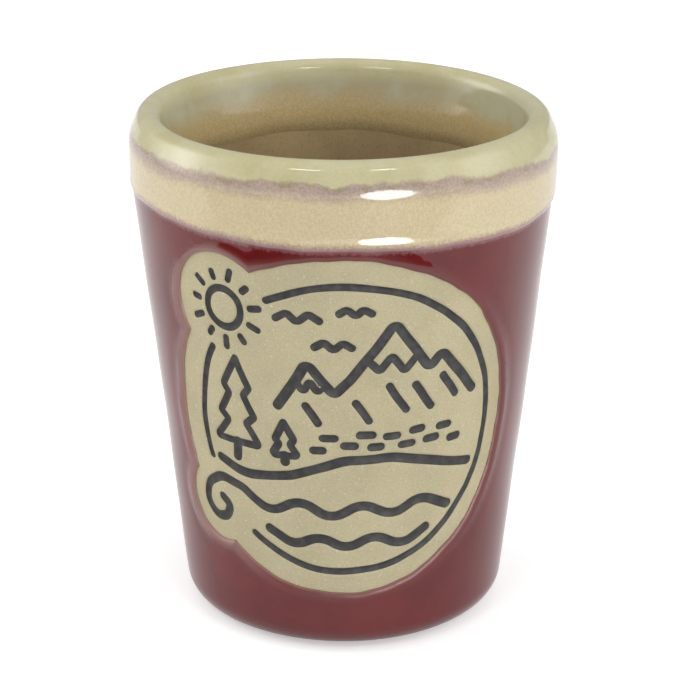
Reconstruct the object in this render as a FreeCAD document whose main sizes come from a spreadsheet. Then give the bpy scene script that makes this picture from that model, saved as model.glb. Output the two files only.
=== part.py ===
import FreeCAD, Part
import math
import os
import Sketcher
from FreeCAD import Vector

# Stoneware shot glass: a thrown clay cup with three coats of glaze and an engraved, stained emblem.
# Millimetres, +Z up. The origin is the centre of the foot ring on the plane the cup rests on,
# and the emblem faces -Y.

doc = FreeCAD.newDocument("shot_glass")
sheet = doc.addObject("Spreadsheet::Sheet", "dims")

SIZES = [
    # clay, outside
    ("cone_radius", 18.26),        # outer cone carried down to the resting plane
    ("wall_slope", 0.111),         # radius gained per millimetre of height
    ("underside_height", 0.75),
    ("base_round", 3.25),
    ("lip_radius", 24.10),         # widest part of the clay lip
    ("lip_round_start", 57.40),    # corner where the lip leaves the vertical
    ("swell_round", 37.0),         # easy curve from the cone into the lip
    ("lip_outer_round", 4.5),
    ("crest_radius", 23.00),
    ("crest_height", 59.85),
    ("crest_round", 0.9),
    # clay, inside
    ("mouth_radius", 21.65),
    ("mouth_round", 0.85),
    ("flare_slope", 0.26),         # the bore opens faster above this height
    ("flare_height", 54.5),
    ("flare_round", 12.0),
    ("bore_slope", 0.10),
    ("floor_height", 7.0),
    ("floor_round", 5.0),
    # foot
    ("foot_outer", 14.8),
    ("foot_inner", 11.6),
    ("foot_root", 1.0),            # the ring is carried up into the clay
    ("foot_round", 0.3),
    ("recess_height", 1.2),
    # glazes
    ("coat", 0.35),
    ("coat_doubled", 0.55),        # rim glaze lying over the other two
    ("burgundy_bottom", 15.4),     # bare clay inside this radius on the underside
    ("burgundy_top", 57.4),
    ("liner_top", 55.5),
    ("rim_line_outside", 50.9),
    ("rim_line_inside", 51.5),
    ("divide_low", 15.4),          # cone inside the clay wall that parts inside from outside
    ("divide_high", 22.5),
    # emblem
    ("emblem_height", 28.6),
    ("ring_radius", 17.9),
    ("ring_line", 0.90),
    ("drawn_line", 1.20),
    ("fine_line", 0.95),
    ("channel_depth", 0.45),
    ("stain_below", 0.10),         # stain surface below the clay surface
    ("band_bottom", 5.0),
    ("band_top", 52.0),
    ("band_clear", 1.0),           # how far the cutting band stands out of the clay
    ("window_radius", 20.9),
    ("window_shift_u", -0.6),
    ("window_shift_v", 0.2),
    ("sun_lobe_radius", 6.5),
    ("wave_lobe_radius", 4.9),
]
for row, (alias, value) in enumerate(SIZES, start=1):
    sheet.set("A%d" % row, alias)
    sheet.set("B%d" % row, str(value))
    sheet.setAlias("B%d" % row, alias)
doc.recompute()


def dim(alias):
    return float(sheet.get(alias))


def bind(obj, **expressions):
    """Drive properties of an object from the sheet; a double underscore stands for a dot."""
    for name, expression in expressions.items():
        obj.setExpression(name.replace("__", "."), expression)


# ---------------------------------------------------------------- turned bodies

def turned_body(name, corners):
    """Body turned about Z from corners given as (radius, height) expressions; None is the axis."""
    body = doc.addObject("PartDesign::Body", name)
    sketch = body.newObject("Sketcher::SketchObject", name + "_profile")
    plane = [f for f in body.Origin.OriginFeatures if f.Role == "XZ_Plane"][0]
    sketch.AttachmentSupport = (plane, [""])
    sketch.MapMode = "FlatFace"
    count = len(corners)
    start = [Vector(30 + 20 * math.cos(2 * math.pi * k / count),
                    30 + 20 * math.sin(2 * math.pi * k / count), 0) for k in range(count)]
    for k in range(count):
        sketch.addGeometry(Part.LineSegment(start[k], start[(k + 1) % count]), False)
    for k in range(count):
        sketch.addConstraint(Sketcher.Constraint("Coincident", k, 2, (k + 1) % count, 1))
    for k, (radius, height) in enumerate(corners):
        if radius is None:
            sketch.addConstraint(Sketcher.Constraint("PointOnObject", k, 1, -2))
        else:
            index = sketch.addConstraint(Sketcher.Constraint("DistanceX", -1, 1, k, 1, start[k].x))
            sketch.setExpression("Constraints[%d]" % index, radius)
        index = sketch.addConstraint(Sketcher.Constraint("DistanceY", -1, 1, k, 1, start[k].y))
        sketch.setExpression("Constraints[%d]" % index, height)
    doc.recompute()
    turn = body.newObject("PartDesign::Revolution", name + "_turn")
    turn.Profile = sketch
    turn.ReferenceAxis = (sketch, ["V_Axis"])
    turn.Angle = 360
    doc.recompute()
    return body


def round_edge(body, height, radius, expression):
    """Round the circular edge of a turned body that lies at a height and nearest to a radius."""
    best = None
    for index, edge in enumerate(body.Tip.Shape.Edges, start=1):
        if not isinstance(edge.Curve, Part.Circle):
            continue
        miss = abs(edge.Curve.Center.z - height) + abs(edge.Curve.Radius - radius)
        if best is None or miss < best[0]:
            best = (miss, index)
    fillet = body.newObject("PartDesign::Fillet", body.Name + "_round")
    fillet.Base = (fillet.BaseFeature, ["Edge%d" % best[1]])
    bind(fillet, Radius=expression)
    doc.recompute()
    return fillet


FLARE_RADIUS = "(dims.mouth_radius - dims.flare_slope * (dims.crest_height - dims.flare_height))"
flare_radius = dim("mouth_radius") - dim("flare_slope") * (dim("crest_height") - dim("flare_height"))
floor_radius = flare_radius - dim("bore_slope") * (dim("flare_height") - dim("floor_height"))

blank = turned_body("clay_blank", [
    (None, "dims.underside_height"),
    ("dims.cone_radius + dims.wall_slope * dims.underside_height", "dims.underside_height"),
    ("dims.lip_radius", "(dims.lip_radius - dims.cone_radius) / dims.wall_slope"),
    ("dims.lip_radius", "dims.lip_round_start"),
    ("dims.crest_radius", "dims.crest_height"),
    ("dims.mouth_radius", "dims.crest_height"),
    (FLARE_RADIUS, "dims.flare_height"),
    (FLARE_RADIUS + " - dims.bore_slope * (dims.flare_height - dims.floor_height)", "dims.floor_height"),
    (None, "dims.floor_height"),
])
swell_height = (dim("lip_radius") - dim("cone_radius")) / dim("wall_slope")
round_edge(blank, dim("underside_height"), dim("cone_radius"), "dims.base_round")
round_edge(blank, swell_height, dim("lip_radius"), "dims.swell_round")
round_edge(blank, dim("lip_round_start"), dim("lip_radius"), "dims.lip_outer_round")
round_edge(blank, dim("crest_height"), dim("crest_radius"), "dims.crest_round")
round_edge(blank, dim("crest_height"), dim("mouth_radius"), "dims.mouth_round")
round_edge(blank, dim("flare_height"), flare_radius, "dims.flare_round")
round_edge(blank, dim("floor_height"), floor_radius, "dims.floor_round")

foot = turned_body("foot_ring", [
    ("dims.foot_inner", "0"),
    ("dims.foot_outer", "0"),
    ("dims.foot_outer", "dims.foot_root"),
    ("dims.foot_inner", "dims.foot_root"),
])
round_edge(foot, 0.0, dim("foot_inner"), "dims.foot_round")
round_edge(foot, 0.0, dim("foot_outer"), "dims.foot_round")


# ---------------------------------------------------------------- solids from primitives

def cylinder(name, radius, bottom, top):
    obj = doc.addObject("Part::Cylinder", name)
    bind(obj, Radius=radius, Height="(%s) - (%s)" % (top, bottom), Placement__Base__z=bottom)
    return obj


def cone(name, radius_low, radius_high, bottom, top):
    obj = doc.addObject("Part::Cone", name)
    bind(obj, Radius1=radius_low, Radius2=radius_high,
         Height="(%s) - (%s)" % (top, bottom), Placement__Base__z=bottom)
    return obj


def cut(name, base, tool):
    obj = doc.addObject("Part::Cut", name)
    obj.Base = base
    obj.Tool = tool
    doc.recompute()
    return obj


def common(name, first, second):
    obj = doc.addObject("Part::Common", name)
    obj.Base = first
    obj.Tool = second
    doc.recompute()
    return obj


def envelope(name, thickness):
    """The clay blank grown outwards by the thickness of its glaze."""
    obj = doc.addObject("Part::Offset", name)
    obj.Source = blank
    obj.Mode = "Skin"
    obj.Join = "Arc"
    bind(obj, Value=thickness)
    doc.recompute()
    return obj


recess = cylinder("recess_space", "dims.foot_inner", "0", "dims.recess_height")
recessed = cut("recessed_blank", blank, recess)
footed = doc.addObject("Part::Fuse", "footed_blank")
footed.Base = recessed
footed.Tool = foot
doc.recompute()

# ---------------------------------------------------------------- glaze coats

coat_space = envelope("coat_space", "dims.coat")
doubled_space = envelope("doubled_space", "dims.coat_doubled")
coat_skin = cut("coat_skin", coat_space, blank)
doubled_skin = cut("doubled_skin", doubled_space, blank)

divide = cone("divide", "dims.divide_low", "dims.divide_high", "0", "dims.burgundy_top")
below_burgundy_top = cylinder("below_burgundy_top", "dims.lip_radius + 10", "-5",
                              "dims.burgundy_top")
outside_space = cut("outside_space", below_burgundy_top, divide)
burgundy_coat = common("burgundy_coat", coat_skin, outside_space)

liner_reach = cylinder("liner_reach", "dims.lip_radius", "dims.floor_height / 2", "dims.liner_top")
liner_space = common("liner_space", liner_reach, divide)
liner_glaze = common("liner_glaze", coat_skin, liner_space)

above_rim_line = cylinder("above_rim_line", "dims.lip_radius + 10", "dims.rim_line_outside",
                          "dims.crest_height + 10")
inside_step = cylinder("inside_step", "dims.mouth_radius + 1.0", "dims.rim_line_outside - 1",
                       "dims.rim_line_inside")
rim_space = cut("rim_space", above_rim_line, inside_step)
rim_coat = common("rim_coat", doubled_skin, rim_space)
rim_outside = cut("rim_outside", rim_coat, burgundy_coat)
rim_glaze = cut("rim_glaze", rim_outside, liner_glaze)


# ---------------------------------------------------------------- drawing on the cone
# The emblem is drawn flat, in (u, v) about its own centre, on the unrolled cone of the clay wall.

slope_angle = math.atan(dim("wall_slope"))
centre_radius = dim("cone_radius") + dim("wall_slope") * dim("emblem_height")
centre_slant = centre_radius / math.sin(slope_angle)


def on_wall(p, offset):
    """Point of the flat drawing, rolled on to the wall and lifted off the clay along its normal."""
    slant = math.hypot(p.x, centre_slant + p.y)
    azimuth = math.atan2(p.x, centre_slant + p.y) / math.sin(slope_angle)
    radius = slant * math.sin(slope_angle) + offset * math.cos(slope_angle)
    height = dim("emblem_height") + (slant - centre_slant) * math.cos(slope_angle)
    height = height - offset * math.sin(slope_angle)
    return Vector(radius * math.sin(azimuth), -radius * math.cos(azimuth), height)


def flat_arc(centre_u, centre_v, radius, start, end):
    """Arc in the flat drawing from a start angle to an end angle, in degrees."""
    circle = Part.Circle(Vector(centre_u, centre_v, 0), Vector(0, 0, 1), radius)
    return Part.Arc(circle, math.radians(start), math.radians(end)).toShape()


def soft_line(points, corner):
    """Wire through the points, with each inner corner rounded by an arc."""
    points = [Vector(u, v, 0) for u, v in points]
    edges = []
    here = points[0]
    for k in range(1, len(points) - 1):
        back = (points[k - 1] - points[k]).normalize()
        ahead = (points[k + 1] - points[k]).normalize()
        half = back.getAngle(ahead) / 2
        reach = corner / math.tan(half)
        shortest = min((points[k] - points[k - 1]).Length, (points[k + 1] - points[k]).Length)
        reach = min(reach, 0.45 * shortest)
        radius = reach * math.tan(half)
        middle = (back + ahead).normalize()
        enter = points[k] + back * reach
        leave = points[k] + ahead * reach
        top = points[k] + middle * (radius / math.sin(half) - radius)
        edges.append(Part.makeLine(here, enter))
        edges.append(Part.Arc(enter, top, leave).toShape())
        here = leave
    edges.append(Part.makeLine(here, points[-1]))
    return Part.Wire(edges)


def stroke(wire, width):
    """Flat face of a line of the given width with round ends, drawn along an open wire."""
    outline = wire.makeOffset2D(width / 2, 0, False, False, False)
    return Part.Face(outline)


def bar(start, end, width):
    """Flat face of a straight line with round ends."""
    first = Vector(start[0], start[1], 0)
    last = Vector(end[0], end[1], 0)
    heading = math.degrees(math.atan2(last.y - first.y, last.x - first.x))
    near = flat_arc(first.x, first.y, width / 2, heading + 90, heading + 270)
    far = flat_arc(last.x, last.y, width / 2, heading - 90, heading + 90)
    sides = [Part.makeLine(near.Vertexes[-1].Point, far.Vertexes[0].Point),
             Part.makeLine(far.Vertexes[-1].Point, near.Vertexes[0].Point)]
    return Part.Face(Part.Wire([near, sides[0], far, sides[1]]))


def dot(u, v, width):
    halves = [flat_arc(u, v, width / 2, 0, 180), flat_arc(u, v, width / 2, 180, 360)]
    return Part.Face(Part.Wire(halves))


def joined(faces):
    """Flat faces merged wherever they overlap."""
    if len(faces) == 1:
        return faces
    merged = faces[0].multiFuse(faces[1:])
    return merged.removeSplitter().Faces


def wall_edge(edge, offset):
    """Edge of a flat outline rolled on to the wall at an offset from the clay."""
    count = 12
    if isinstance(edge.Curve, Part.Line):
        count = 4 + int(edge.Length / 2)
    elif edge.Length > 6:
        count = int(edge.Length * 2)
    curve = Part.BSplineCurve()
    curve.interpolate([on_wall(p, offset) for p in edge.discretize(Number=count)])
    return curve.toShape()


def inner_point(face):
    """A point just inside a flat face, a little way in from the middle of one of its edges."""
    for edge in face.OuterWire.Edges:
        middle = (edge.FirstParameter + edge.LastParameter) / 2
        along = edge.tangentAt(middle)
        for side in (-0.2, 0.2):
            p = edge.valueAt(middle) + Vector(-along.y, along.x, 0) * side
            if edge.Length > 0.5 and face.isInside(p, 1e-6, False):
                return p
    raise RuntimeError("no point found inside a face")


def pressed(name, faces, band):
    """Solids cut from the band by walls that stand on the outlines of flat faces."""
    inside = -dim("channel_depth") - 0.6
    outside = dim("band_clear") + 0.6
    shells = []
    for face in faces:
        for wire in face.Wires:
            walls = []
            for edge in wire.Edges:
                walls.append(Part.makeRuledSurface(wall_edge(edge, inside), wall_edge(edge, outside)))
            shell = Part.makeShell(walls)
            shell.sewShape()
            shells.append(shell)
    pieces = band.Shape.generalFuse(shells, 0.0)[0].Solids
    marks = [on_wall(inner_point(face), 0.1) for face in faces]
    kept = [s for s in pieces if any(s.isInside(m, 1e-5, False) for m in marks)]
    obj = doc.addObject("Part::Feature", name)
    obj.Shape = Part.makeCompound(kept)
    obj.Placement = FreeCAD.Placement()
    if len(kept) != len(faces):
        raise RuntimeError("%s: %d outlines gave %d solids" % (name, len(faces), len(kept)))
    return obj


def wall_cone(name, offset):
    """Cone parallel to the clay wall at an offset along its normal, given as an expression."""
    lift = "(%s) * sqrt(1 + dims.wall_slope * dims.wall_slope)" % offset
    low = "dims.cone_radius + dims.wall_slope * dims.band_bottom + " + lift
    high = "dims.cone_radius + dims.wall_slope * dims.band_top + " + lift
    return cone(name, low, high, "dims.band_bottom", "dims.band_top")


band_outer = wall_cone("band_outer", "dims.band_clear")
band_inner = wall_cone("band_inner", "-dims.channel_depth")
band = cut("emblem_band", band_outer, band_inner)
stain_core = wall_cone("stain_core", "-dims.stain_below")
doc.recompute()

# ---------------------------------------------------------------- the emblem

ring_radius = dim("ring_radius")
line = dim("drawn_line")
fine = dim("fine_line")

ring = [
    stroke(Part.Wire([flat_arc(0, 0, ring_radius, -127, 119)]), dim("ring_line")),
    stroke(Part.Wire([flat_arc(0, 0, ring_radius, 153, 200)]), dim("ring_line")),
]

SUN_U, SUN_V = -14.2, 13.5
SUN_WIDTH = 4.6
RAYS = 11
sun = dot(SUN_U, SUN_V, SUN_WIDTH + fine).cut(dot(SUN_U, SUN_V, SUN_WIDTH - fine)).Faces
for k in range(RAYS):
    turn = 2 * math.pi * k / RAYS + 0.2
    reach = 4.3 if k % 2 else 4.7
    start, end = [(SUN_U + r * math.cos(turn), SUN_V + r * math.sin(turn)) for r in (3.65, reach)]
    sun.append(bar(start, end, fine * 0.9))

mountain = joined([
    stroke(soft_line([(-7.6, 2.9), (-4.2, 8.6), (-1.2, 4.8), (0.6, 6.6), (5.6, 13.2), (9.6, 7.2),
                      (11.2, 8.8), (15.4, 3.0)], 0.6), line),
    stroke(soft_line([(2.4, 9.0), (3.9, 7.5), (5.2, 9.3), (6.6, 7.3), (8.2, 9.2)], 0.3), fine),
    stroke(soft_line([(-5.6, 6.3), (-4.7, 5.0), (-3.9, 6.5), (-3.1, 5.1), (-2.3, 6.1)], 0.3), fine),
])
SHADING = [((5.0, 5.6), (6.9, 2.5)), ((8.0, 5.4), (9.9, 2.3)), ((11.3, 5.8), (13.0, 3.0)),
           ((-4.4, 3.3), (-3.0, 1.2)), ((1.2, 3.7), (2.6, 1.5))]
mountain += [bar(start, end, fine) for start, end in SHADING]


def pine(u, base, top, half_width, tiers):
    """Two mirrored zigzag lines and a trunk: the outline of a fir tree."""
    tier = (top - base) * 0.84 / tiers
    foliage = base + (top - base) * 0.16
    parts = [bar((u, base), (u, foliage), line)]
    for side in (-1, 1):
        points = [(u, foliage)]
        for k in range(tiers):
            width = half_width * (1 - 0.62 * k / tiers)
            points.append((u + side * width, foliage + tier * k + 0.1 * side))
            points.append((u + side * width * 0.42, foliage + tier * (k + 0.72)))
        points[-1] = (u, top)
        parts.append(stroke(soft_line(points, 0.25), fine))
    return joined(parts)


pines = pine(-12.9, -5.0, 7.6, 2.9, 3) + pine(-6.9, -4.1, 0.8, 1.6, 2)


def gull(u, v, span):
    wing = [(-1.0, 0.1), (-0.5, 0.42), (0.0, -0.05), (0.5, 0.42), (1.0, 0.1)]
    return stroke(soft_line([(u + span * a, v + span * b) for a, b in wing], 0.5), fine)


gulls = [gull(-5.2, 13.5, 2.4), gull(-1.2, 10.4, 2.0), gull(1.2, 14.5, 1.8)]

shore = [stroke(soft_line([(-15.4, -5.9), (-12.0, -6.9), (-6.0, -5.7), (0.0, -3.5), (5.0, -3.2),
                           (11.0, -5.0), (15.0, -6.3)], 6.0), line)]

PEBBLES = [(-3.0, -2.3, 1.0), (-1.8, -0.7, 1.2), (0.5, -1.6, 1.1), (2.3, -0.3, 1.3), (3.4, -1.8, 1.0),
           (5.2, -0.6, 1.2), (6.9, -1.9, 1.1), (8.2, -0.3, 1.0), (9.9, -1.8, 1.2), (11.6, -0.6, 1.1),
           (12.9, -2.4, 1.0)]
pebbles = [bar((u - span / 2, v), (u + span / 2, v), 1.0) for u, v, span in PEBBLES]


def swell(first, last, crest, trough, crests):
    """Corner points of a wave line with the given number of crests."""
    points = []
    steps = 2 * crests
    for k in range(steps + 1):
        points.append((first + (last - first) * k / steps, trough if k % 2 else crest))
    return points


curl = [(-15.4, -11.2), (-14.3, -11.9), (-14.7, -13.5), (-16.5, -14.1), (-18.1, -12.6),
        (-17.9, -10.1), (-15.6, -8.4), (-12.3, -8.8)]
waves = [
    stroke(soft_line(curl + swell(-8.6, 12.3, -11.0, -8.9, 3), 2.5), line),
    stroke(soft_line(swell(-8.8, 9.4, -13.2, -14.9, 3), 2.5), line),
]

WINDOW = [
    (dim("window_shift_u"), dim("window_shift_v"), dim("window_radius")),
    (-14.6, 13.5, dim("sun_lobe_radius")),
    (-15.6, -11.8, dim("wave_lobe_radius")),
]
window = joined([dot(u, v, 2 * radius) for u, v, radius in WINDOW])
window_space = pressed("window_space", window, band)

STAINS = {
    "ring_stain": ring,
    "sun_stain": sun,
    "mountain_stain": mountain,
    "pine_stain": pines,
    "gull_stain": gulls,
    "shore_stain": shore,
    "pebble_stain": pebbles,
    "wave_stain": waves,
}
channels = []
nodes = []
for name, faces in STAINS.items():
    channel = pressed(name.replace("_stain", "_channel"), faces, band)
    channels.append(channel)
    nodes.append(common(name, channel, stain_core))

all_channels = doc.addObject("Part::Compound", "all_channels")
all_channels.Links = channels
doc.recompute()

stoneware_body = cut("stoneware_body", footed, all_channels)
burgundy_glaze = cut("burgundy_glaze", burgundy_coat, window_space)
nodes = [stoneware_body, liner_glaze, burgundy_glaze, rim_glaze] + nodes

# ---------------------------------------------------------------- checks and export

doc.recompute()
for obj in doc.Objects:
    if "Invalid" in obj.State or "Error" in obj.State:
        raise RuntimeError("%s did not build: %s" % (obj.Name, obj.State))

os.makedirs("parts", exist_ok=True)
for node in nodes:
    node.Label = node.Name
    if node.Shape.isNull() or not node.Shape.isValid():
        raise RuntimeError("%s has no valid shape" % node.Name)
    print("%-16s %9.2f mm3  solids %d  z %.2f..%.2f" % (
        node.Name, node.Shape.Volume, len(node.Shape.Solids),
        node.Shape.BoundBox.ZMin, node.Shape.BoundBox.ZMax))
for node in nodes:
    node.Shape.exportStep("parts/%s.step" % node.Name)
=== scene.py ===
import math

import bmesh
import bpy
import numpy as np
from mathutils import Matrix, Vector
from mathutils.geometry import delaunay_2d_cdt


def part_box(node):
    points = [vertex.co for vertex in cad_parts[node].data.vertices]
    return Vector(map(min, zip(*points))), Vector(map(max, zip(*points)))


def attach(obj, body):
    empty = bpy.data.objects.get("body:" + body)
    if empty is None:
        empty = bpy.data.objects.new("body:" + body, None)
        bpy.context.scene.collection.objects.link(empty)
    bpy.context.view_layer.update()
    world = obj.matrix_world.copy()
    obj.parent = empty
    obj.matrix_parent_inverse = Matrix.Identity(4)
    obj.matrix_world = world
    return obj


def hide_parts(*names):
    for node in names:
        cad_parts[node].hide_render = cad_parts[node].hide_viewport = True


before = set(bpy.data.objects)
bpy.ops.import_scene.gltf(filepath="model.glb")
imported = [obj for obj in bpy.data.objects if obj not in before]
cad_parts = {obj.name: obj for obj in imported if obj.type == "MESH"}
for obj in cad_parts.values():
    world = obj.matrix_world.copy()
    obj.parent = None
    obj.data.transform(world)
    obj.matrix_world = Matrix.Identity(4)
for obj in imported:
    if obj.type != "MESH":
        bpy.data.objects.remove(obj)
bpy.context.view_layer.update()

MM = 0.001

# ------------------------------------------------------------------ sizes, in millimetres
BODY_HIGH = np.array(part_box("stoneware_body")[1]) / MM
RIM_HIGH = np.array(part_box("rim_glaze")[1]) / MM
LINER_LOW = np.array(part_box("liner_glaze")[0]) / MM
BURGUNDY_LOW = np.array(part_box("burgundy_glaze")[0]) / MM
RING_LOW, RING_HIGH = (np.array(c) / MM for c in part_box("ring_stain"))

SLOPE = 0.111
CONE_RADIUS = 18.26
UNDERSIDE = 0.75
LIP_RADIUS = BODY_HIGH[0]
CREST = BODY_HIGH[2]
FLOOR = LINER_LOW[2]
CREST_RADIUS = 23.0
MOUTH_RADIUS = 21.65
FLARE_SLOPE, FLARE_Z = 0.26, 54.5
BORE_SLOPE = 0.10
COAT = UNDERSIDE - BURGUNDY_LOW[2]
DOUBLED = RIM_HIGH[2] - CREST
RIM_LINE = 50.65
RIM_LINE_INSIDE = 51.5
EMBLEM_Z = (RING_LOW[2] + RING_HIGH[2]) / 2
CHANNEL = 0.45
STAIN_BELOW = 0.10
ALPHA = math.atan(SLOPE)
BASE_ROUND = 3.25
SWELL_ROUND = 37.0
SHOULDER_Z, SHOULDER_ROUND = 57.4, 4.5
CREST_ROUND, MOUTH_ROUND = 0.9, 0.85
FLARE_ROUND = 12.0
FLOOR_ROUND = 5.0
BURGUNDY_FOOT_RADIUS = 15.4
BURGUNDY_TOP = 57.4
LINER_TOP = 55.5
COLUMNS = 240  # points round the cup
SPREAD = 21  # width of one radian where the outside is laid flat
FAR = 9.0  # distance given to points far from every outline
WELD = 2e-7  # reach in metres within which points are merged


# ------------------------------------------------------------------ profile of the clay
def rounded_path(corners):
    """Dense samples (s, r, z, nr, nz) along a path of (r, z, radius) corners; n points out of the clay."""
    points = [np.array(c[:2], float) for c in corners]
    stretches = []
    here = points[0]
    for k in range(1, len(points) - 1):
        back = points[k - 1] - points[k]
        ahead = points[k + 1] - points[k]
        back /= np.linalg.norm(back)
        ahead /= np.linalg.norm(ahead)
        half = math.acos(float(np.clip(back @ ahead, -1, 1))) / 2
        reach = corners[k][2] / math.tan(half)
        enter, leave = points[k] + back * reach, points[k] + ahead * reach
        centre = points[k] + (back + ahead) / np.linalg.norm(back + ahead) * corners[k][2] / math.sin(half)
        stretches.append(("line", here, enter, None))
        stretches.append(("arc", enter, leave, centre))
        here = leave
    stretches.append(("line", here, points[-1], None))
    rows, marks, s = [], [], 0.0
    for form, a, b, centre in stretches:
        marks.append(s)
        if form == "line":
            length = np.linalg.norm(b - a)
            d = (b - a) / length
            for t in np.linspace(0, 1, max(2, int(length / 0.05))):
                p = a + (b - a) * t
                rows.append((s + length * t, p[0], p[1], d[1], -d[0]))
        else:
            ra, rb = a - centre, b - centre
            radius = np.linalg.norm(ra)
            start = math.atan2(ra[1], ra[0])
            turn = math.atan2(ra[0] * rb[1] - ra[1] * rb[0], ra @ rb)
            length = abs(turn) * radius
            side = 1 if turn > 0 else -1
            for t in np.linspace(0, 1, max(8, int(length / 0.05))):
                n = np.array([math.cos(start + turn * t), math.sin(start + turn * t)])
                p = centre + n * radius
                rows.append((s + length * t, p[0], p[1], side * n[0], side * n[1]))
        s += length
    marks.append(s)
    return np.array(rows), marks


SWELL_Z = (LIP_RADIUS - CONE_RADIUS) / SLOPE
FLARE_RADIUS = MOUTH_RADIUS - FLARE_SLOPE * (CREST - FLARE_Z)
BORE_FLOOR = FLARE_RADIUS - BORE_SLOPE * (FLARE_Z - FLOOR)
PATH, MARKS = rounded_path([
    (0, UNDERSIDE, 0),
    (CONE_RADIUS + SLOPE * UNDERSIDE, UNDERSIDE, BASE_ROUND),
    (LIP_RADIUS, SWELL_Z, SWELL_ROUND),
    (LIP_RADIUS, SHOULDER_Z, SHOULDER_ROUND),
    (CREST_RADIUS, CREST, CREST_ROUND),
    (MOUTH_RADIUS, CREST, MOUTH_ROUND),
    (FLARE_RADIUS, FLARE_Z, FLARE_ROUND),
    (BORE_FLOOR, FLOOR, FLOOR_ROUND),
    (0, FLOOR, 0),
])
CONE_START, CONE_END = MARKS[2], MARKS[3]
CREST_S = (MARKS[8] + MARKS[9]) / 2
END_S = MARKS[-1]


def s_outside(z):
    part = PATH[(PATH[:, 0] < CREST_S) & (PATH[:, 0] > MARKS[1])]
    return np.interp(z, part[:, 2], part[:, 0])


def s_inside(z):
    part = PATH[(PATH[:, 0] > CREST_S) & (PATH[:, 0] < MARKS[-2])][::-1]
    return np.interp(z, part[:, 2], part[:, 0])


EMBLEM_S = s_outside(EMBLEM_Z)
EMBLEM_SLANT = (CONE_RADIUS + SLOPE * EMBLEM_Z) / math.sin(ALPHA)


def hand_thrown(theta, z):
    """Small departure of the wall from a true turned shape, in millimetres."""
    return (0.07 * np.sin(2 * theta + 0.9 + 0.02 * z) + 0.05 * np.sin(3 * theta - 1.3 + 0.05 * z)
            + 0.022 * np.sin(5 * theta + 0.21 * z + 0.4) + 0.018 * np.sin(0.55 * z + 1.5 * np.sin(theta)))


def rim_dip(theta, z):
    """How far the rim rises or falls round its circle, in millimetres; nothing below the shoulder."""
    share = np.clip((z - 44) / 14, 0, 1)
    right = np.exp(2.3 * (np.cos(theta - 1.83) - 1))
    left = np.exp(2.1 * (np.cos(theta + 1.66) - 1))
    return share ** 2 * (3 - 2 * share) * (0.05 * np.cos(theta) - 0.15 - 0.40 * right + 0.14 * left)


def place(theta, s, lift):
    """Points in metres at an angle from -Y, a distance along the profile and a lift off the clay."""
    r, z, nr, nz = (np.interp(s, PATH[:, 0], PATH[:, k]) for k in (1, 2, 3, 4))
    r = r + hand_thrown(theta, z) * np.clip(r / 12, 0, 1)
    r, z = r + nr * lift, z + nz * lift
    lean = 0.2 * np.clip((s - CREST_S) / 4, 0, 1) - 0.25 * np.clip(1 - z / 25, 0, 1)
    return np.stack([r * np.sin(theta) + lean, -r * np.cos(theta), z + rim_dip(theta, z)], -1) * MM


def to_flat(theta, s):
    slant = EMBLEM_SLANT + s - EMBLEM_S
    turn = theta * math.sin(ALPHA)
    return np.stack([slant * np.sin(turn), slant * np.cos(turn) - EMBLEM_SLANT], -1)


def from_flat(p):
    slant = np.hypot(p[..., 0], EMBLEM_SLANT + p[..., 1])
    theta = np.arctan2(p[..., 0], EMBLEM_SLANT + p[..., 1]) / math.sin(ALPHA)
    return theta, slant - EMBLEM_SLANT + EMBLEM_S


# ------------------------------------------------------------------ meshes
def make_mesh(name, points, triangles, values=None, smooth=True):
    """Object from points in metres and triangles; coincident points are merged."""
    keys = np.round(points / 2e-8).astype(np.int64)
    _, first, back = np.unique(keys, axis=0, return_index=True, return_inverse=True)
    back = back.reshape(-1)
    tri = back[np.asarray(triangles)]
    keep = (tri[:, 0] != tri[:, 1]) & (tri[:, 1] != tri[:, 2]) & (tri[:, 0] != tri[:, 2])
    tri = tri[keep]
    mesh = bpy.data.meshes.new(name)
    mesh.from_pydata(points[first].tolist(), [], tri.tolist())
    for key, data in (values or {}).items():
        layer = mesh.attributes.new(key, "FLOAT", "POINT")
        layer.data.foreach_set("value", np.asarray(data, np.float32)[first])
    weld = bmesh.new()
    weld.from_mesh(mesh)
    bmesh.ops.remove_doubles(weld, verts=weld.verts, dist=WELD)
    bmesh.ops.delete(weld, geom=[v for v in weld.verts if not v.link_faces], context="VERTS")
    weld.to_mesh(mesh)
    weld.free()
    mesh.polygons.foreach_set("use_smooth", [smooth] * len(mesh.polygons))
    mesh.update()
    obj = bpy.data.objects.new(name, mesh)
    bpy.context.scene.collection.objects.link(obj)
    return obj


def grid_triangles(rows, columns, wrap_rows=False):
    """Triangles of a grid that closes round its columns and, if asked, round its rows."""
    i = np.arange(rows if wrap_rows else rows - 1)[:, None]
    j = np.arange(columns)[None, :]
    a = i * columns + j
    b = i * columns + (j + 1) % columns
    c = ((i + 1) % rows) * columns + (j + 1) % columns
    d = ((i + 1) % rows) * columns + j
    return np.concatenate([np.stack([a, b, c], -1).reshape(-1, 3), np.stack([a, c, d], -1).reshape(-1, 3)])


THETA = np.linspace(-math.pi, math.pi, COLUMNS, endpoint=False)


def coat_of_rows(name, s_rows, upper, lower, values=None):
    """Closed coat whose upper and lower faces follow rows of s given for every column."""
    theta = np.broadcast_to(THETA, s_rows.shape)
    top = place(theta, s_rows, upper)
    under = place(theta, s_rows[::-1], lower[::-1])
    points = np.concatenate([top, under]).reshape(-1, 3)
    both = {k: np.concatenate([v, v[::-1]]).reshape(-1) for k, v in (values or {}).items()}
    return make_mesh(name, points, grid_triangles(2 * len(s_rows), COLUMNS, wrap_rows=True), both)


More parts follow.
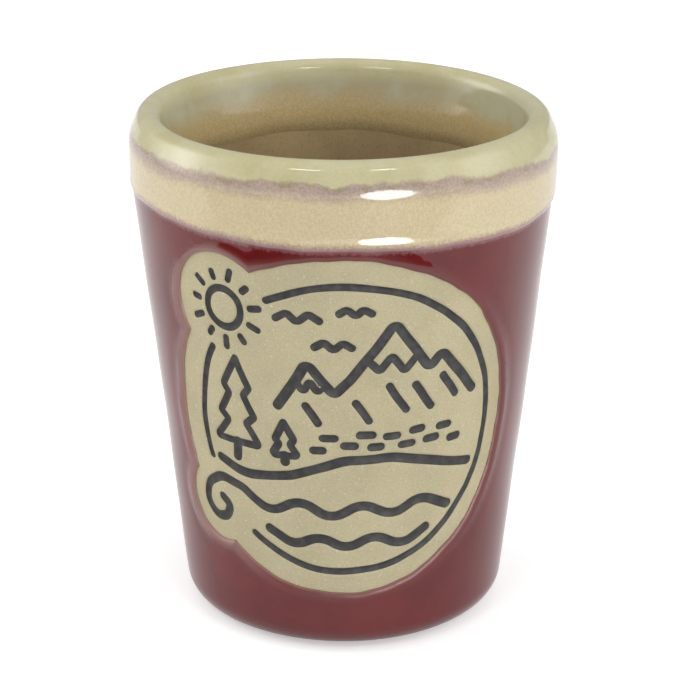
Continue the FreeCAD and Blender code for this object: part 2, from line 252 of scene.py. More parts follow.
def edge_curve(distance, width):
    """Rises from 0 at an edge to 1 at the given distance, round like a bead of glaze."""
    x = np.clip(distance / width, 0, 1)
    return np.sqrt(1 - (1 - x) ** 2)


# ------------------------------------------------------------------ outlines from the CAD solids
def cap_loops(node, lift):
    """Closed outlines, in the flat drawing, of the faces of a node that lie at a lift off the clay cone."""
    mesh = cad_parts[node].data
    mesh.calc_loop_triangles()
    co = np.array([v.co for v in mesh.vertices]) / MM
    tri = np.array([t.vertices for t in mesh.loop_triangles])
    keys = np.round(co, 3)
    unique, back = np.unique(keys, axis=0, return_inverse=True)
    tri = back.reshape(-1)[tri]
    r = np.hypot(unique[:, 0], unique[:, 1])
    off = (r - CONE_RADIUS - SLOPE * unique[:, 2]) * math.cos(ALPHA)
    on_cap = np.abs(off - lift) < 0.03
    cap = tri[on_cap[tri].all(1)]
    slant = EMBLEM_SLANT + (unique[:, 2] - EMBLEM_Z + lift * math.sin(ALPHA)) / math.cos(ALPHA)
    turn = np.arctan2(unique[:, 0], -unique[:, 1]) * math.sin(ALPHA)
    flat = np.stack([slant * np.sin(turn), slant * np.cos(turn) - EMBLEM_SLANT], -1)
    following = {}
    edges = set()
    for a, b, c in cap.tolist():
        edges.update([(a, b), (b, c), (c, a)])
    for a, b in edges:
        if (b, a) not in edges:
            following[a] = b
    loops = []
    while following:
        start, here = following.popitem()
        loop = [start]
        while here != start:
            loop.append(here)
            here = following.pop(here)
        loops.append(flat[loop])
    return loops


def wander(p):
    """Slight unsteadiness of a hand-held tool, in millimetres, as a smooth field over the drawing."""
    u, v = p[:, 0], p[:, 1]
    du = 0.06 * np.sin(0.55 * v + 0.35 * u + 0.4) + 0.025 * np.sin(1.3 * u - 1.1 * v + 2.0)
    dv = 0.06 * np.sin(0.60 * u - 0.30 * v + 1.7) + 0.025 * np.sin(1.4 * v + 0.8 * u)
    return p + np.stack([du, dv], -1)


def resample(loop, step):
    """Closed outline with points about a step apart, keeping every sharp corner."""
    out = []
    count = len(loop)
    for k in range(count):
        a, b = loop[k], loop[(k + 1) % count]
        pieces = max(1, int(np.linalg.norm(b - a) / step + 0.5))
        out.extend(a + (b - a) * t / pieces for t in range(pieces))
    out = np.array(out)
    keep = [0]
    for k in range(1, len(out)):
        if np.linalg.norm(out[k] - out[keep[-1]]) > step * 0.45:
            keep.append(k)
    return out[keep]


def segment_distance(p, loops):
    """Distance of points to the nearest stretch of any outline, negative inside."""
    a = np.concatenate(loops)
    b = np.concatenate([np.roll(loop, -1, axis=0) for loop in loops])
    best = np.full(len(p), 1e9)
    inside = np.zeros(len(p), bool)
    ab = b - a
    length = (ab ** 2).sum(1)
    for start in range(0, len(p), 800):
        q = p[start:start + 800, None, :]
        t = np.clip(((q - a) * ab).sum(-1) / length, 0, 1)[..., None]
        d = np.sqrt(((q - a - ab * t) ** 2).sum(-1)).min(1)
        best[start:start + 800] = d
        above = (a[:, 1] > q[..., 1]) != (b[:, 1] > q[..., 1])
        rise = np.where(ab[:, 1] == 0, 1e-12, ab[:, 1])
        cross = q[..., 0] < a[:, 0] + (q[..., 1] - a[:, 1]) * ab[:, 0] / rise
        inside[start:start + 800] = (above & cross).sum(1) % 2 == 1
    return np.where(inside, -best, best)


def offset_rows(loops, distances):
    """Points at given distances outside (or, negative, inside) the outlines."""
    rows = []
    for loop in loops:
        tangent = np.roll(loop, -1, axis=0) - np.roll(loop, 1, axis=0)
        tangent /= np.linalg.norm(tangent, axis=1)[:, None] + 1e-12
        normal = np.stack([tangent[:, 1], -tangent[:, 0]], -1)
        for d in distances:
            for side in (d, -d):
                row = loop + normal * side
                rows.append(np.column_stack([row, np.full(len(row), d)]))
    rows = np.concatenate(rows)
    actual = segment_distance(rows[:, :2], loops)
    wanted = rows[:, 2]
    return rows[np.abs(actual - wanted) < 0.02 + 0.05 * np.abs(wanted)][:, :2]


def thin_out(points, kept, room):
    """Points that stay a distance away from those already kept, and from each other, on a hash grid."""
    taken = {}
    for p in kept:
        taken.setdefault((int(p[0] // room), int(p[1] // room)), []).append(p)
    out = []
    for p in points:
        cell = (int(p[0] // room), int(p[1] // room))
        near = False
        for i in (-1, 0, 1):
            for j in (-1, 0, 1):
                for q in taken.get((cell[0] + i, cell[1] + j), ()):
                    if (p[0] - q[0]) ** 2 + (p[1] - q[1]) ** 2 < room * room:
                        near = True
        if not near:
            taken.setdefault(cell, []).append(p)
            out.append(p)
    return np.array(out).reshape(-1, 2)


def triangulate(points, loops):
    """Delaunay triangles over points that keep the outlines as edges; returns points and triangles."""
    coords = [Vector(p) for p in points]
    edges = []
    for loop in loops:
        first = len(coords)
        coords.extend(Vector(p) for p in loop)
        edges.extend((first + k, first + (k + 1) % len(loop)) for k in range(len(loop)))
    verts, _, faces, _, _, _ = delaunay_2d_cdt(coords, edges, [], 0, 1e-6, False)
    tri = np.array([f for f in faces if len(f) == 3])
    return np.array([tuple(v) for v in verts]), tri


def close_seam(theta, s, tri):
    """Makes the triangles at the end of the turn use the points at its start."""
    starts = np.flatnonzero(theta < -math.pi + 1e-4)
    index = np.arange(len(theta))
    for i in np.flatnonzero(theta > math.pi - 1e-4):
        nearest = starts[np.argmin(np.abs(s[starts] - s[i]))]
        if abs(s[nearest] - s[i]) < 0.01:
            index[i] = nearest
    return index[tri]


def flat_solid(name, theta, s, tri, upper, lower, values=None):
    """Closed solid between two lifts over the same triangles, with walls along their open edges."""
    count = len(theta)
    tri = close_seam(theta, s, tri)
    points = np.concatenate([place(theta, s, upper), place(theta, s, lower)])
    edges = {}
    for a, b, c in tri.tolist():
        for e in ((a, b), (b, c), (c, a)):
            edges[e] = True
    walls = []
    for a, b in edges:
        if (b, a) not in edges:
            walls += [(a, a + count, b + count), (a, b + count, b)]
    everything = np.concatenate([tri, tri[:, ::-1] + count, np.array(walls)])
    both = {k: np.concatenate([v, v]) for k, v in (values or {}).items()}
    return make_mesh(name, points, everything, both)


STAINS = [n for n in sorted(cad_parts) if n.endswith("_stain")]
STROKES = {}
for node in STAINS:
    STROKES[node] = [wander(resample(loop, 0.26)) for loop in cap_loops(node, -STAIN_BELOW)]
ALL_STROKES = [loop for loops in STROKES.values() for loop in loops]
WINDOW = []
for loop in cap_loops("burgundy_glaze", COAT):
    if np.abs(loop[:, 0]).max() < 25 and np.abs(loop[:, 1]).max() < 24:
        loop = resample(loop, 0.3)
        angle = np.arctan2(loop[:, 1], loop[:, 0])[:, None]
        ripple = 0.07 * np.sin(9 * angle + 1) + 0.05 * np.sin(17 * angle + 2.3) + 0.03 * np.sin(41 * angle)
        WINDOW.append(loop * (1 + ripple / np.linalg.norm(loop, axis=1)[:, None]))


# ------------------------------------------------------------------ clay
def clay_outside():
    """Wall between two circles of the clay, with the engraved channels."""
    low, high = CONE_START + 1.0, CONE_END - 0.2
    rows = offset_rows(ALL_STROKES, (0.05, 0.14, 0.30, -0.05, -0.20))
    outline_points = np.concatenate(ALL_STROKES)
    rows = rows[segment_distance(rows, ALL_STROKES) > -0.6]
    extra = thin_out(rows, outline_points, 0.045)
    fine = np.stack(np.meshgrid(np.arange(-23, 23, 0.5), np.arange(-23, 23, 0.5)), -1).reshape(-1, 2)
    fine = fine[np.hypot(fine[:, 0], fine[:, 1]) < 23]
    extra = np.concatenate([extra, thin_out(fine, np.concatenate([extra, outline_points]), 0.3)])
    theta, s = from_flat(extra)
    inside = (s > low + 0.3) & (s < high - 0.3)
    theta, s = theta[inside], s[inside]
    coarse_t, coarse_s = np.meshgrid(np.linspace(-math.pi, math.pi, 61), np.linspace(low, high, 16)[1:-1])
    coarse = to_flat(coarse_t.ravel(), coarse_s.ravel())
    outer = np.hypot(coarse[:, 0], coarse[:, 1]) > 23.6
    edge_theta = np.append(THETA, math.pi)
    theta = np.concatenate([theta, coarse_t.ravel()[outer], edge_theta, edge_theta])
    s = np.concatenate([s, coarse_s.ravel()[outer], np.full(COLUMNS + 1, low), np.full(COLUMNS + 1, high)])
    loops = []
    for loop in ALL_STROKES:
        t, along = from_flat(loop)
        loops.append(np.stack([t * SPREAD, along], -1))
    pts, tri = triangulate(np.stack([theta * SPREAD, s], -1), loops)
    theta, s = pts[:, 0] / SPREAD, pts[:, 1]
    flat = to_flat(theta, s)
    d = np.full(len(flat), FAR)
    near = np.hypot(flat[:, 0], flat[:, 1]) < 24.5
    d[near] = segment_distance(flat[near], ALL_STROKES)
    burr = 0.035 * np.exp(-((d - 0.22) / 0.14) ** 2) * (1 + 0.7 * np.sin(3.1 * flat[:, 0] + 2.2 * flat[:, 1]))
    outside = burr - 0.07 * np.exp(-(d / 0.07) ** 2)
    depth = -0.07 - (CHANNEL - 0.07) * np.clip(-d / 0.05, 0, 1)
    lift = np.where(d >= 0, outside, depth)
    grain = 0.012 * np.sin(1.9 * flat[:, 0] + 1.0) * np.sin(2.1 * flat[:, 1] + 0.3)
    blend = np.clip((s - low) / 2, 0, 1) * np.clip((high - s) / 2, 0, 1)
    return place(theta, s, (lift + grain) * blend), close_seam(theta, s, tri), low, high


def clay_rest(low, high):
    """Foot, underside, lip and bore of the clay, as rows of (r, z) or of s."""
    foot_outer, foot_inner, recess, soft = 14.8, 11.6, 1.2, 0.3
    corner = [(0, recess), (foot_inner - 4, recess), (foot_inner - 0.4, recess), (foot_inner, recess - 0.3)]
    for centre, first in ((foot_inner + soft, 180), (foot_outer - soft, 270)):
        for a in np.radians(np.linspace(first, first + 90, 7)):
            corner.append((centre + soft * math.cos(a), soft + soft * math.sin(a)))
    corner += [(foot_outer, UNDERSIDE - 0.15), (foot_outer + 0.15, UNDERSIDE)]
    rows = []
    for r, z in corner:
        x = r * np.sin(THETA)
        y = -r * np.cos(THETA)
        rows.append(np.stack([x, y, np.full(COLUMNS, z)], -1) * MM)
    start = s_at_radius(foot_outer + 0.15)
    for s in spaced(start + 0.3, low, 0.6):
        rows.append(place(THETA, np.full(COLUMNS, s), 0))
    lower = np.array(rows)
    upper = np.array([place(THETA, np.full(COLUMNS, s), 0) for s in spaced(high, END_S, 0.7)])
    return lower, upper


def s_at_radius(r):
    part = PATH[PATH[:, 0] < MARKS[2]]
    return np.interp(r, part[:, 1], part[:, 0])


def spaced(a, b, step):
    return np.linspace(a, b, max(2, int(abs(b - a) / step) + 1))


def build_clay():
    wall, tri, low, high = clay_outside()
    lower, upper = clay_rest(low, high)
    points = np.concatenate([wall, lower.reshape(-1, 3), upper.reshape(-1, 3)])
    grids = [grid_triangles(len(lower), COLUMNS) + len(wall),
             grid_triangles(len(upper), COLUMNS) + len(wall) + lower.shape[0] * COLUMNS]
    return make_mesh("clay_cup", points, np.concatenate([tri] + grids))


clay = build_clay()


# ------------------------------------------------------------------ stain in the channels
def build_stain(node):
    loops = STROKES[node]
    rows = offset_rows(loops, (-0.08, -0.18, -0.30, -0.42, -0.52))
    rows = thin_out(rows[::-1], np.concatenate(loops), 0.075)
    pts, tri = triangulate(rows, loops)
    middle = pts[tri].mean(1)
    tri = tri[segment_distance(middle, loops) < 0]
    d = -segment_distance(pts, loops)
    half = np.clip(d / 0.5, 0, 1)
    upper = -0.09 - 0.21 * (1 - (1 - half) ** 2)
    upper = upper + 0.018 * np.sin(4.3 * pts[:, 0] + 1.2) * np.sin(3.9 * pts[:, 1]) * half
    theta, s = from_flat(pts)
    return flat_solid(node + "_fill", theta, s, tri, upper, np.full(len(pts), -CHANNEL + 0.005))


fills = {node: build_stain(node) for node in STAINS}


# ------------------------------------------------------------------ edges of the rim glaze
def line_outside():
    t = THETA
    z = RIM_LINE + 0.55 * (1 - np.cos(t)) - 0.8 * np.sin(t) + 0.10 * np.sin(5 * t + 0.5)
    z += 0.05 * np.sin(11 * t + 0.7) + 0.035 * np.sin(23 * t + 1.9) + 0.025 * np.sin(41 * t)
    return s_outside(z)


def line_inside():
    t = THETA
    z = RIM_LINE_INSIDE + 0.35 * np.sin(t + 2.6) + 0.2 * np.sin(4 * t + 1.1) + 0.1 * np.sin(11 * t)
    return s_inside(z)


# ------------------------------------------------------------------ burgundy glaze
def build_burgundy():
    low = s_at_radius(BURGUNDY_FOOT_RADIUS)
    high = s_outside(BURGUNDY_TOP)
    s_rows = np.concatenate([
        low + np.array([0, 0.06, 0.15, 0.3, 0.5]),
        spaced(low + 0.8, CONE_START + 2, 0.45),
        spaced(CONE_START + 2.8, high - 0.6, 0.8),
        high - np.array([0.3, 0]),
    ])
    theta, s = np.meshgrid(np.append(THETA, math.pi), s_rows)
    theta, s = theta.ravel(), s.ravel()
    flat = to_flat(theta, s)
    d = np.full(len(flat), FAR)
    near = np.hypot(flat[:, 0], flat[:, 1]) < 27
    d[near] = segment_distance(flat[near], WINDOW)
    keep = d > 1.35
    theta, s = theta[keep], s[keep]
    rows = offset_rows(WINDOW, (0.02, 0.06, 0.12, 0.20, 0.30, 0.42, 0.58, 0.78, 1.05))
    rows = thin_out(rows, np.concatenate(WINDOW), 0.018)
    t_rows, along = from_flat(rows)
    loops = []
    for loop in WINDOW:
        t, a = from_flat(loop)
        loops.append(np.stack([t * SPREAD, a], -1))
    pts = np.concatenate([np.stack([theta * SPREAD, s], -1), np.stack([t_rows * SPREAD, along], -1)])
    pts, tri = triangulate(pts, loops)
    middle = pts[tri].mean(1)
    tri = tri[segment_distance(middle, loops) > 0]
    theta, s = pts[:, 0] / SPREAD, pts[:, 1]
    flat = to_flat(theta, s)
    d = np.full(len(flat), FAR)
    near = np.hypot(flat[:, 0], flat[:, 1]) < 27
    d[near] = np.maximum(segment_distance(flat[near], WINDOW), 0)
    full = COAT * (0.75 + 0.25 * np.clip(d / 3, 0, 1) + 0.42 * np.exp(-((d - 0.75) / 0.6) ** 2))
    upper = full * edge_curve(d, 0.42) * edge_curve(s - low, 0.5) * np.clip((high - s) / 0.3, 0, 1)
    lower = np.where(upper > 1e-4, -0.01, upper)
    under = np.interp(theta, THETA, line_outside(), period=2 * math.pi) - s
    return flat_solid("burgundy_coat", theta, s, tri, upper, lower, {"edge": d, "under": under})


burgundy = build_burgundy()


# ------------------------------------------------------------------ rim glaze and liner
def build_rim():
    a, b = line_outside(), line_inside()
    near = np.array([0, 0.03, 0.08, 0.16, 0.27, 0.4, 0.55, 0.75])
    span = (b - a)[None, :]
    middle = np.linspace(0, 1, 84)[:, None]
    s = np.concatenate([a + near[:, None], a + 1.0 + (span - 2.0) * middle, b - near[::-1, None]])
    from_a, from_b = s - a, b - s
    swell = 0.04 * np.sin(5 * THETA + 0.8)[None, :] * np.exp(-((from_a - 2) / 2) ** 2)
    drip = np.exp(12 * (np.cos(THETA - 0.15) - 1))[None, :]
    bead = (0.07 + 0.13 * drip) * np.exp(-((from_a - 0.8) / 0.65) ** 2)
    full = DOUBLED - COAT + 0.03 + bead + swell
    taper = np.clip(from_b / 2.2, 0, 1)
    upper = COAT - 0.03 + full * edge_curve(from_a, 0.7) * taper ** 2 * (3 - 2 * taper)
    lower = np.full_like(upper, COAT - 0.12)
    lower[0], lower[-1] = upper[0], upper[-1]
    sine = np.sin(THETA)[None, :]
    crest = s - CREST_S - 1.5 + 0.7 * sine ** 2 + 0.6 * sine ** 3
    values = {"from_line": from_a, "from_inside": from_b, "crest": crest}
    return coat_of_rows("rim_coat", s, upper, lower, values)


def build_liner():
    top = s_inside(LINER_TOP)
    s = np.concatenate([[top, top + 0.2], spaced(top + 0.8, END_S, 0.7)])
    rows = np.repeat(s[:, None], COLUMNS, 1)
    upper = COAT * edge_curve(rows - top, 0.25)
    lower = np.minimum(upper, -0.01)
    lower[0] = upper[0]
    return coat_of_rows("liner_coat", rows, upper, lower)


rim = build_rim()
liner = build_liner()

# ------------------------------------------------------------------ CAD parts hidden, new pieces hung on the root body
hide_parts("stoneware_body")
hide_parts("burgundy_glaze")
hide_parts("rim_glaze")
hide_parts("liner_glaze")
for node, fill in fills.items():
    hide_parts(node)
for piece in [clay, burgundy, rim, liner] + list(fills.values()):
    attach(piece, "root")


# ------------------------------------------------------------------ materials
class Shader:
    """Small helper that wires up the nodes of one material."""

    def __init__(self, name):
        self.material = bpy.data.materials.new(name)
        self.material.use_nodes = True
        self.tree = self.material.node_tree
        self.tree.nodes.clear()
        self.out = self.node("ShaderNodeOutputMaterial")
        self.surface = self.node("ShaderNodeBsdfPrincipled")
        self.link(self.surface.outputs[0], self.out.inputs["Surface"])
        self.place = self.node("ShaderNodeTexCoord").outputs["Object"]

    def node(self, kind, **settings):
        made = self.tree.nodes.new(kind)
        for key, value in settings.items():
            setattr(made, key, value)
        return made

    def link(self, a, b):
        self.tree.links.new(a, b)

    def put(self, socket, value):
        if hasattr(value, "is_output"):
            self.link(value, socket)
        else:
            socket.default_value = value

    def noise(self, scale, detail, rough):
        n = self.node("ShaderNodeTexNoise")
        self.link(self.place, n.inputs["Vector"])
        for key, value in (("Scale", scale), ("Detail", detail), ("Roughness", rough)):
            n.inputs[key].default_value = value
        return n.outputs["Fac"]

    def math(self, operation, a, b):
        n = self.node("ShaderNodeMath", operation=operation)
        self.put(n.inputs[0], a)
        self.put(n.inputs[1], b)
        return n.outputs[0]

    def ruffle(self, value, noise, amount):
        """Moves a value up or down with a noise, by at most half the amount."""
        return self.math("ADD", value, self.math("MULTIPLY", self.math("SUBTRACT", noise, 0.5), amount))

    def axis(self, name):
        n = self.node("ShaderNodeSeparateXYZ")
        self.link(self.place, n.inputs[0])
        return n.outputs[name]

    def span(self, value, low, high, to_low=0.0, to_high=1.0):
        n = self.node("ShaderNodeMapRange", interpolation_type="SMOOTHSTEP")
        self.put(n.inputs["Value"], value)
        for key, x in (("From Min", low), ("From Max", high), ("To Min", to_low), ("To Max", to_high)):
            n.inputs[key].default_value = x
        return n.outputs[0]

    def mix(self, fac, a, b):
        n = self.node("ShaderNodeMix", data_type="RGBA")
        self.put(n.inputs["Factor"], fac)
        for socket, value in ((n.inputs[6], a), (n.inputs[7], b)):
            self.put(socket, value if hasattr(value, "is_output") else (*value, 1.0))
        return n.outputs[2]

    def attribute(self, name):
        return self.node("ShaderNodeAttribute", attribute_name=name).outputs["Fac"]

    def bump(self, height, distance, strength=1.0):
        n = self.node("ShaderNodeBump")
        n.inputs["Strength"].default_value = strength
        n.inputs["Distance"].default_value = distance
        self.link(height, n.inputs["Height"])
        return n.outputs["Normal"]

    def set(self, **values):
        for key, value in values.items():
            socket = self.surface.inputs[key.replace("_", " ")]
            if isinstance(value, tuple):
                value = (*value, 1.0)
            self.put(socket, value)


def clay_material():
    """Matt sandy clay with a few glassy specks."""
    m = Shader("bare_clay")
    grain = m.noise(7500, 3, 0.7)
    blotch = m.noise(160, 3, 0.55)
    speck = m.noise(3600, 1, 0.5)
    colour = m.mix(m.span(blotch, 0.3, 0.7), (0.430, 0.383, 0.245), (0.480, 0.428, 0.275))
    colour = m.mix(m.span(grain, 0.40, 0.66, 0.0, 0.42), colour, (0.27, 0.225, 0.135))
    colour = m.mix(m.span(speck, 0.68, 0.75, 0.0, 0.45), colour, (0.74, 0.70, 0.56))
    rough = m.span(speck, 0.69, 0.75, 0.85, 0.22)
    m.set(Base_Color=colour, Roughness=rough, Normal=m.bump(grain, 0.00004, 0.6))
    m.surface.inputs["Specular IOR Level"].default_value = 0.3
    return m.material


def stain_material():
    """Dry grey stain, unevenly thick."""
    m = Shader("grey_stain")
    grain = m.noise(4600, 3, 0.65)
    blotch = m.noise(900, 2, 0.5)
    colour = m.mix(m.span(blotch, 0.35, 0.7), (0.030, 0.030, 0.031), (0.055, 0.054, 0.053))
    colour = m.mix(m.span(grain, 0.60, 0.72, 0.0, 0.4), colour, (0.12, 0.118, 0.110))
    rough = m.span(grain, 0.3, 0.7, 0.55, 0.75)
    m.set(Base_Color=colour, Roughness=rough, Normal=m.bump(grain, 0.00005, 0.8))
    m.surface.inputs["Specular IOR Level"].default_value = 0.3
    return m.material


def burgundy_material():
    """Dark red glaze with a painted pale reflection beside the bare clay, mostly on the left, and mauve below
    the cream.
    """
    m = Shader("burgundy_glaze")
    blotch = m.noise(150, 3, 0.55)
    fleck = m.noise(2400, 2, 0.6)
    wave = m.noise(80, 1, 0.4)
    edge = m.attribute("edge")
    colour = m.mix(m.span(blotch, 0.3, 0.7), (0.098, 0.0042, 0.0058), (0.124, 0.0070, 0.0080))
    colour = m.mix(m.span(fleck, 0.62, 0.76, 0.0, 0.30), colour, (0.055, 0.004, 0.007))
    # Pale halo beside the bare clay, strongest on the left: a painted reflection of the bright tent on that
    # side, painted into the glaze colour.
    reflection_reach = m.ruffle(edge, blotch, 1.6)
    leftward = m.span(m.axis("X"), -0.0165, -0.006, 1.0, 0.15)
    painted_reflection = m.math("MULTIPLY", m.span(reflection_reach, 0.1, 1.5, 0.42, 0.0), leftward)
    colour = m.mix(painted_reflection, colour, (0.42, 0.30, 0.26))
    colour = m.mix(m.span(edge, 0.0, 0.16, 0.5, 0.0), colour, (0.30, 0.20, 0.14))
    under = m.ruffle(m.attribute("under"), fleck, 0.7)
    colour = m.mix(m.span(under, 0.0, 0.55, 0.8, 0.0), colour, (0.230, 0.110, 0.120))
    rough = m.math("ADD", m.span(edge, 0.1, 1.2, 0.38, 0.0), m.span(fleck, 0.3, 0.8, 0.045, 0.075))
    m.set(Base_Color=colour, Roughness=rough, Normal=m.bump(wave, 0.0003, 0.18))
    return m.material


def rim_material():
    """Cream glaze in zones: peach band, mauve line, olive cream roll, grey green and tan inside."""
    m = Shader("rim_glaze")
    blotch = m.noise(140, 4, 0.6)
    grain = m.noise(3400, 3, 0.7)
    ragged = m.noise(620, 4, 0.7)
    crest = m.attribute("crest")
    height = m.ruffle(crest, blotch, 2.2)
    torn = m.ruffle(height, ragged, 1.3)
    peach = m.mix(m.span(grain, 0.35, 0.65), (0.500, 0.415, 0.258), (0.575, 0.485, 0.312))
    roll = m.mix(m.span(blotch, 0.35, 0.65), (0.415, 0.380, 0.200), (0.470, 0.435, 0.265))
    roll = m.mix(m.span(grain, 0.40, 0.70, 0.0, 0.22), roll, (0.33, 0.29, 0.17))
    mauve = m.mix(m.span(grain, 0.35, 0.65), (0.300, 0.225, 0.190), (0.395, 0.305, 0.250))
    colour = m.mix(m.span(height, -6.2, -4.3), peach, mauve)
    olive = m.mix(m.span(ragged, 0.40, 0.62, 0.0, 0.7), mauve, (0.250, 0.205, 0.110))
    colour = m.mix(m.span(torn, -4.5, -4.15), colour, olive)
    colour = m.mix(m.span(torn, -4.05, -3.6), colour, roll)
    green = m.mix(m.span(blotch, 0.40, 0.62), (0.345, 0.300, 0.175), (0.375, 0.355, 0.235))
    colour = m.mix(m.span(height, -0.2, 1.4), colour, green)
    tan = m.mix(m.span(grain, 0.30, 0.70), (0.350, 0.262, 0.120), (0.425, 0.330, 0.168))
    inner = m.ruffle(m.attribute("from_inside"), blotch, 4.0)
    tan_zone = m.math("MULTIPLY", m.span(inner, 3.6, 6.4, 1.0, 0.0), m.span(crest, 0.0, 1.0))
    colour = m.mix(tan_zone, colour, tan)
    line = m.ruffle(m.attribute("from_line"), grain, 0.9)
    colour = m.mix(m.span(line, 0.25, 1.15, 0.9, 0.0), colour, (0.250, 0.130, 0.135))
    fade = m.ruffle(m.attribute("from_inside"), grain, 1.2)
    colour = m.mix(m.span(fade, -0.2, 2.2, 1.0, 0.0), colour, (0.215, 0.155, 0.080))
    rough = m.span(grain, 0.3, 0.8, 0.07, 0.14)
    m.set(Base_Color=colour, Roughness=rough, Normal=m.bump(blotch, 0.0003, 0.16))
    return m.material


def liner_material():
    """Brown glaze inside the cup."""
    m = Shader("liner_glaze")
    blotch = m.noise(130, 4, 0.6)
    grain = m.noise(2600, 3, 0.65)
    colour = m.mix(m.span(blotch, 0.3, 0.7), (0.265, 0.190, 0.098), (0.335, 0.250, 0.135))
    colour = m.mix(m.span(grain, 0.50, 0.75, 0.0, 0.45), colour, (0.180, 0.125, 0.062))
    m.set(Base_Color=colour, Roughness=0.13, Normal=m.bump(blotch, 0.0004, 0.2))
    return m.material


def paint(obj, material):
    obj.data.materials.clear()
    obj.data.materials.append(material)


paint(clay, clay_material())
paint(burgundy, burgundy_material())
paint(rim, rim_material())
paint(liner, liner_material())
stain = stain_material()
for fill in fills.values():
    paint(fill, stain)


# ------------------------------------------------------------------ floor and light
def stage_plane(name, size_x, size_y, centre, colour):
    """Flat matt rectangle that belongs to the scene and not to the cup."""
    mesh = bpy.data.meshes.new(name)
    x, y = size_x / 2, size_y / 2
    mesh.from_pydata([(-x, -y, 0), (x, -y, 0), (x, y, 0), (-x, y, 0)], [], [(0, 1, 2, 3)])
    obj = bpy.data.objects.new(name, mesh)
    obj.location = centre
    bpy.context.scene.collection.objects.link(obj)
    m = Shader(name)
    m.set(Base_Color=colour, Roughness=0.9)
    mesh.materials.append(m.material)
    return obj


# Glow of the floor in reflections and to the camera; level of the tent as a light and to the camera.
FLOOR_SHINE, FLOOR_WHITE = 0.18, 0.38
TENT_LEVEL, TENT_WHITE = 0.48, 1.0

floor = stage_plane("floor", 4.0, 4.0, (0, 0, 0), (0.82, 0.82, 0.82))
# The dark card lies on the floor in front of the cup. Only reflections see it.
card = stage_plane("dark_flag", 0.60, 0.30, (0, -0.236, 0.001), (0.05, 0.05, 0.05))
card.rotation_euler.z = -0.14
for way in ("camera", "diffuse", "shadow", "transmission", "volume_scatter"):
    setattr(card, "visible_" + way, False)


def by_ray(tree, others, seen, ray):
    """Returns a level that is one value to the named kind of ray and another value to all the others."""
    path = tree.nodes.new("ShaderNodeLightPath")
    level = tree.nodes.new("ShaderNodeMapRange")
    tree.links.new(path.outputs[ray], level.inputs["Value"])
    level.inputs["To Max"].default_value = seen
    if hasattr(others, "is_output"):
        tree.links.new(others, level.inputs["To Min"])
    else:
        level.inputs["To Min"].default_value = others
    return level.outputs[0]


LIT_POINT = Vector((0, 0, 0.05))


def softbox(name, azimuth, elevation, wide, tall, radiance, distance=0.8, shape="RECTANGLE"):
    """Area light of a width and height in degrees as seen from the cup, and of a radiance.

    Azimuth 0 is -Y and grows towards +X.
    """
    a, e = math.radians(azimuth), math.radians(elevation)
    way = Vector((math.sin(a) * math.cos(e), -math.cos(a) * math.cos(e), math.sin(e)))
    light = bpy.data.lights.new(name, "AREA")
    light.shape = shape
    light.size = 2 * distance * math.tan(math.radians(wide / 2))
    light.size_y = 2 * distance * math.tan(math.radians(tall / 2))
    light.energy = radiance * math.pi * light.size * light.size_y
    obj = bpy.data.objects.new(name, light)
    obj.location = LIT_POINT + way * distance
    obj.rotation_euler = way.to_track_quat("Z", "Y").to_euler()
    bpy.context.scene.collection.objects.link(obj)
    return obj


# Two lamps above the front, a fill for its matt surfaces and a window that only reflections see.
softbox("lamp_left", -24, 43, 13, 5, 15)
softbox("lamp_right", 26, 43, 11, 5, 15)
fill_light = softbox("fill_front", 21, 20, 30, 18, 4.2)
fill_light.visible_glossy = False
window_front = softbox("window_front", 22, -1, 28, 20, 13, 0.22, "ELLIPSE")
window_front.visible_diffuse = False

world = bpy.data.worlds.new("white_tent")
world.use_nodes = True
world_tree = world.node_tree
world_light = world_tree.nodes["Background"]
world_light.inputs["Color"].default_value = (1, 1, 1, 1)


def world_node(operation, a, b, kind="ShaderNodeMath"):
    """One sum in the world's nodes, whose inputs are numbers or the outputs of other nodes."""
    made = world_tree.nodes.new(kind)
    made.operation = operation
    for socket, value in ((made.inputs[0], a), (made.inputs[1], b)):
        if hasattr(value, "is_output"):
            world_tree.links.new(value, socket)
        else:
            socket.default_value = value
    return made.outputs["Value"]


direction = world_tree.nodes.new("ShaderNodeTexCoord").outputs["Generated"]


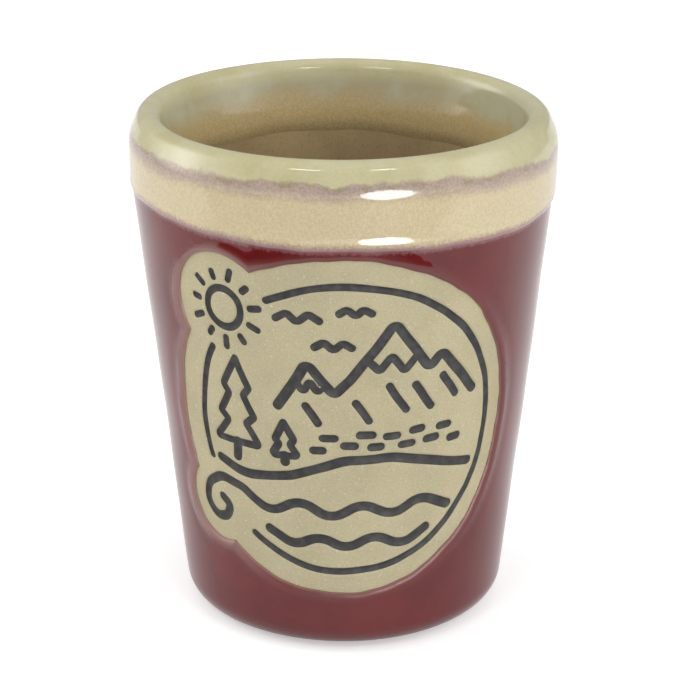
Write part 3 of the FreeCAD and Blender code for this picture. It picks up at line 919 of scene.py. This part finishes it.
def glow(level, azimuth, elevation, radiance, tightness):
    """Adds a soft bright patch of the tent, at an azimuth and elevation in degrees, to a level."""
    a, e = math.radians(azimuth), math.radians(elevation)
    way = (math.sin(a) * math.cos(e), -math.cos(a) * math.cos(e), math.sin(e))
    facing = world_node("DOT_PRODUCT", direction, way, "ShaderNodeVectorMath")
    patch = world_node("POWER", world_node("MAXIMUM", facing, 0.0), tightness)
    return world_node("ADD", level, world_node("MULTIPLY", patch, radiance))


tent = glow(TENT_LEVEL, -98, 18, 5.0, 16)
tent = glow(tent, 78, 26, 2.5, 14)
tent = glow(tent, 0, 90, 0.5, 3)
tent = by_ray(world_tree, tent, TENT_WHITE, "Is Camera Ray")
world_tree.links.new(tent, world_light.inputs["Strength"])
bpy.context.scene.world = world

floor_tree = floor.data.materials[0].node_tree
floor_surface = [n for n in floor_tree.nodes if n.type == "BSDF_PRINCIPLED"][0]
floor_surface.inputs["Emission Color"].default_value = (1, 1, 1, 1)
shine = by_ray(floor_tree, 0.0, FLOOR_SHINE, "Is Glossy Ray")
shine = by_ray(floor_tree, shine, FLOOR_WHITE, "Is Camera Ray")
floor_tree.links.new(shine, floor_surface.inputs["Emission Strength"])
bpy.context.scene.view_settings.view_transform = "Standard"
bpy.context.scene.view_settings.look = "None"


# ------------------------------------------------------------------ camera
# It looks at a point on the axis from a distance in metres and an elevation in radians.
DISTANCE, ELEVATION = 0.300, 0.358727
LENS = 130.58
TARGET = Vector((0, 0, 0.0304))
camera_data = bpy.data.cameras.new("camera")
camera_data.lens = LENS
camera_data.sensor_width = 36
camera_data.shift_x = 0.00777
camera_data.shift_y = 0.00063
camera_data.clip_start, camera_data.clip_end = 0.01, 20
camera = bpy.data.objects.new("camera", camera_data)
back = Vector((0, -math.cos(ELEVATION), math.sin(ELEVATION)))
camera.location = TARGET + back * DISTANCE
camera.rotation_mode = "QUATERNION"
turn = (-back).to_track_quat("-Z", "Y")
ROLL = -0.00595
camera.rotation_quaternion = turn @ Matrix.Rotation(ROLL, 4, "Z").to_quaternion()
bpy.context.scene.collection.objects.link(camera)
bpy.context.scene.camera = camera
